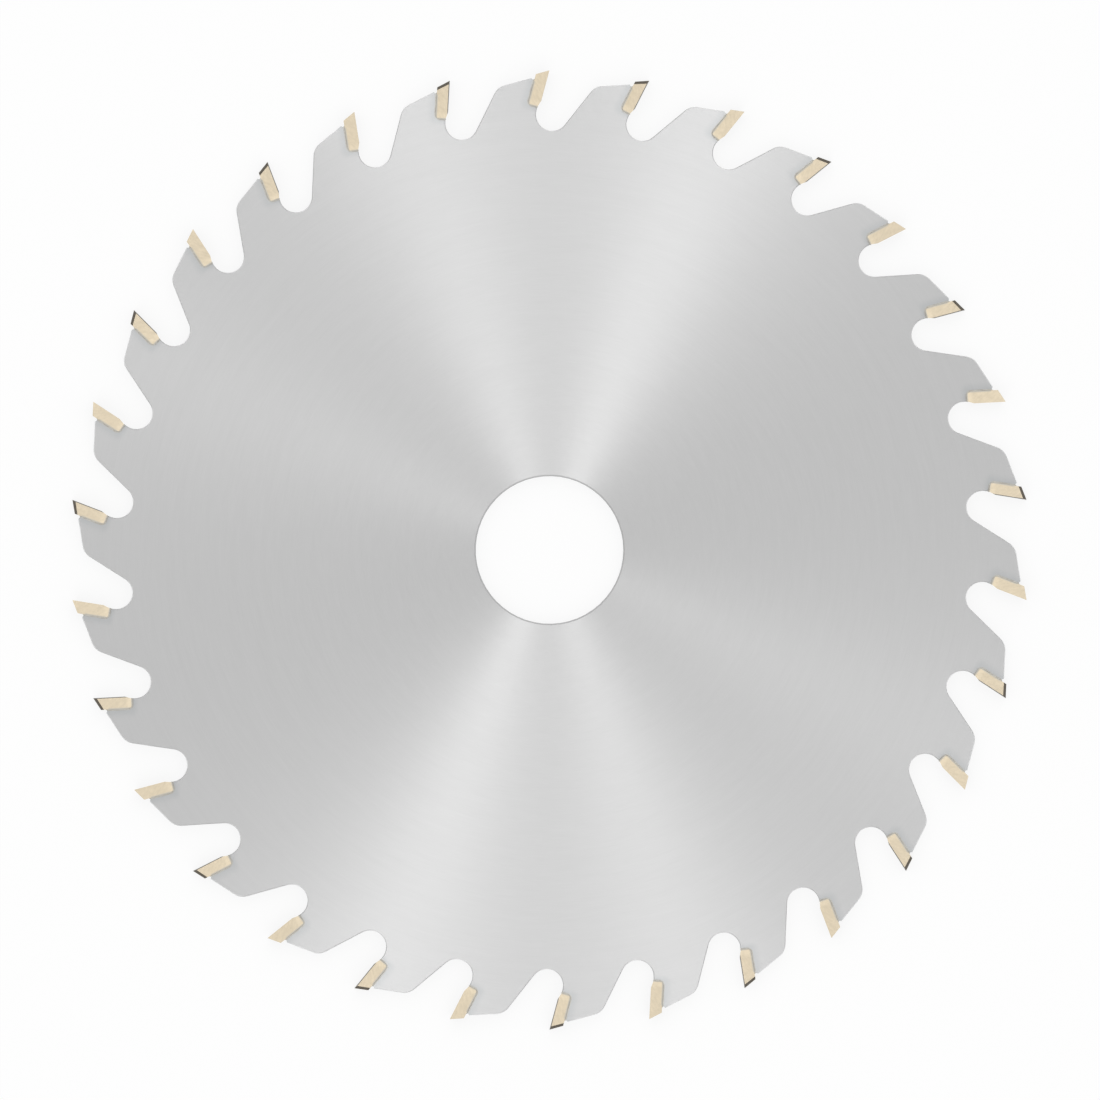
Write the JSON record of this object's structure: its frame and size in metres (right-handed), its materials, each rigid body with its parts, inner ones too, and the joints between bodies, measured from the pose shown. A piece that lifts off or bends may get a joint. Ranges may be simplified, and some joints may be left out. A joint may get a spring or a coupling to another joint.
{
  "type": "circular saw blade",
  "caption": "Flat steel circular saw blade with carbide tips brazed round its toothed rim and a plain round arbor bore.",
  "frame": {"origin": "middle of the arbor bore, halfway through the plate", "axes": "+Z along the blade's axis; +Y through the point of tooth 1; seen from +Z the teeth point clockwise"},
  "size_m": [0.1292, 0.13, 0.0024],
  "materials": {
    "plate_steel": "fine circular grind, satin",
    "carbide": "ground carbide, warm grey to beige, matt",
    "silver_solder": "as brazed, dull"
  },
  "bodies": {
    "root": {"blade_plate": "plate_steel", "tip_01": "carbide", "tip_02": "carbide", "tip_03": "carbide", "tip_04": "carbide", "tip_05": "carbide", "tip_06": "carbide", "tip_07": "carbide", "tip_08": "carbide", "tip_09": "carbide", "tip_10": "carbide", "tip_11": "carbide", "tip_12": "carbide", "tip_13": "carbide", "tip_14": "carbide", "tip_15": "carbide", "tip_16": "carbide", "tip_17": "carbide", "tip_18": "carbide", "tip_19": "carbide", "tip_20": "carbide", "tip_21": "carbide", "tip_22": "carbide", "tip_23": "carbide", "tip_24": "carbide", "tip_25": "carbide", "tip_26": "carbide", "tip_27": "carbide", "tip_28": "carbide", "tip_29": "carbide", "tip_30": "carbide", "braze_joints": "silver_solder"}
  },
  "joints": []
}
